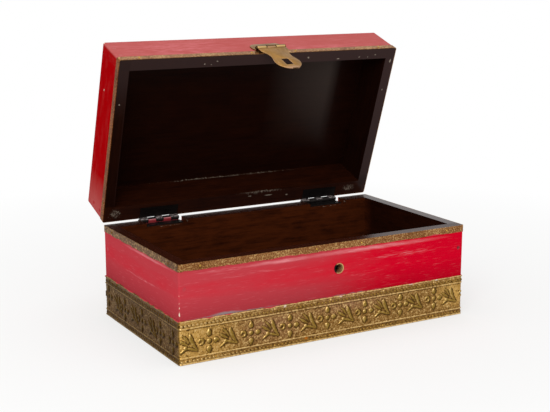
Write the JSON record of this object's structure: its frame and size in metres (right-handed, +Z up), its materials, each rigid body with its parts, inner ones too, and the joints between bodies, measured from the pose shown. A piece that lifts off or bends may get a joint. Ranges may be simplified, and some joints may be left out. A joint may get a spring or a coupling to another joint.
{
  "type": "jewellery box",
  "caption": "Painted wooden jewellery box with an embossed brass band, brass rim strips, a hinged lid and a hasp that closes over a staple's socket.",
  "frame": {"origin": "middle of the box's underside", "axes": "+X along the box from left to right, -Y out of the front, +Z up"},
  "size_m": [0.3026, 0.2119, 0.2629],
  "materials": {
    "painted_wood": "worn satin paint",
    "embossed_brass": "embossed and aged",
    "strip_brass": "aged, finely stippled",
    "fittings_brass": "plain, aged",
    "iron_hinges": "blackened",
    "iron_nails": "dull"
  },
  "bodies": {
    "base": {"base_front_wall": "painted_wood", "base_back_wall": "painted_wood", "base_left_wall": "painted_wood", "base_right_wall": "painted_wood", "base_bottom_board": "painted_wood", "base_wall_nails": "iron_nails", "base_bottom_nails": "iron_nails", "band_front": "embossed_brass", "band_back": "embossed_brass", "band_left": "embossed_brass", "band_right": "embossed_brass", "band_pins": "fittings_brass", "base_rim_strip_left": "strip_brass", "base_rim_strip_right": "strip_brass", "base_rim_pins": "fittings_brass", "staple_socket": "fittings_brass", "left_hinge_base_leaf": "iron_hinges", "right_hinge_base_leaf": "iron_hinges", "left_hinge_pin": "iron_hinges", "right_hinge_pin": "iron_hinges", "base_hinge_screws": "iron_hinges"},
    "lid": {"lid_front_wall": "painted_wood", "lid_back_wall": "painted_wood", "lid_left_wall": "painted_wood", "lid_right_wall": "painted_wood", "lid_top_board": "painted_wood", "lid_wall_nails": "iron_nails", "lid_top_nails": "iron_nails", "lid_rim_strip_left": "strip_brass", "lid_rim_strip_right": "strip_brass", "lid_rim_pins": "fittings_brass", "left_hinge_lid_leaf": "iron_hinges", "right_hinge_lid_leaf": "iron_hinges", "lid_hinge_screws": "iron_hinges", "hasp_leaf": "fittings_brass", "hasp_pin": "fittings_brass", "hasp_screws": "fittings_brass"},
    "hasp": {"hasp_plate": "fittings_brass"}
  },
  "joints": [
    {"name": "lid_hinge", "type": "hinge", "parent": "base", "child": "lid", "pos_m": [0, 0.0866, 0.0878], "axis": [-1, 0, 0], "range_deg": [-71, 109]},
    {"name": "hasp_hinge", "type": "hinge", "parent": "lid", "child": "hasp", "pos_m": [0.0073, 0.03884, 0.25538], "axis": [-0.9986, -0.0495, -0.017], "range_deg": [0, 172]}
  ]
}
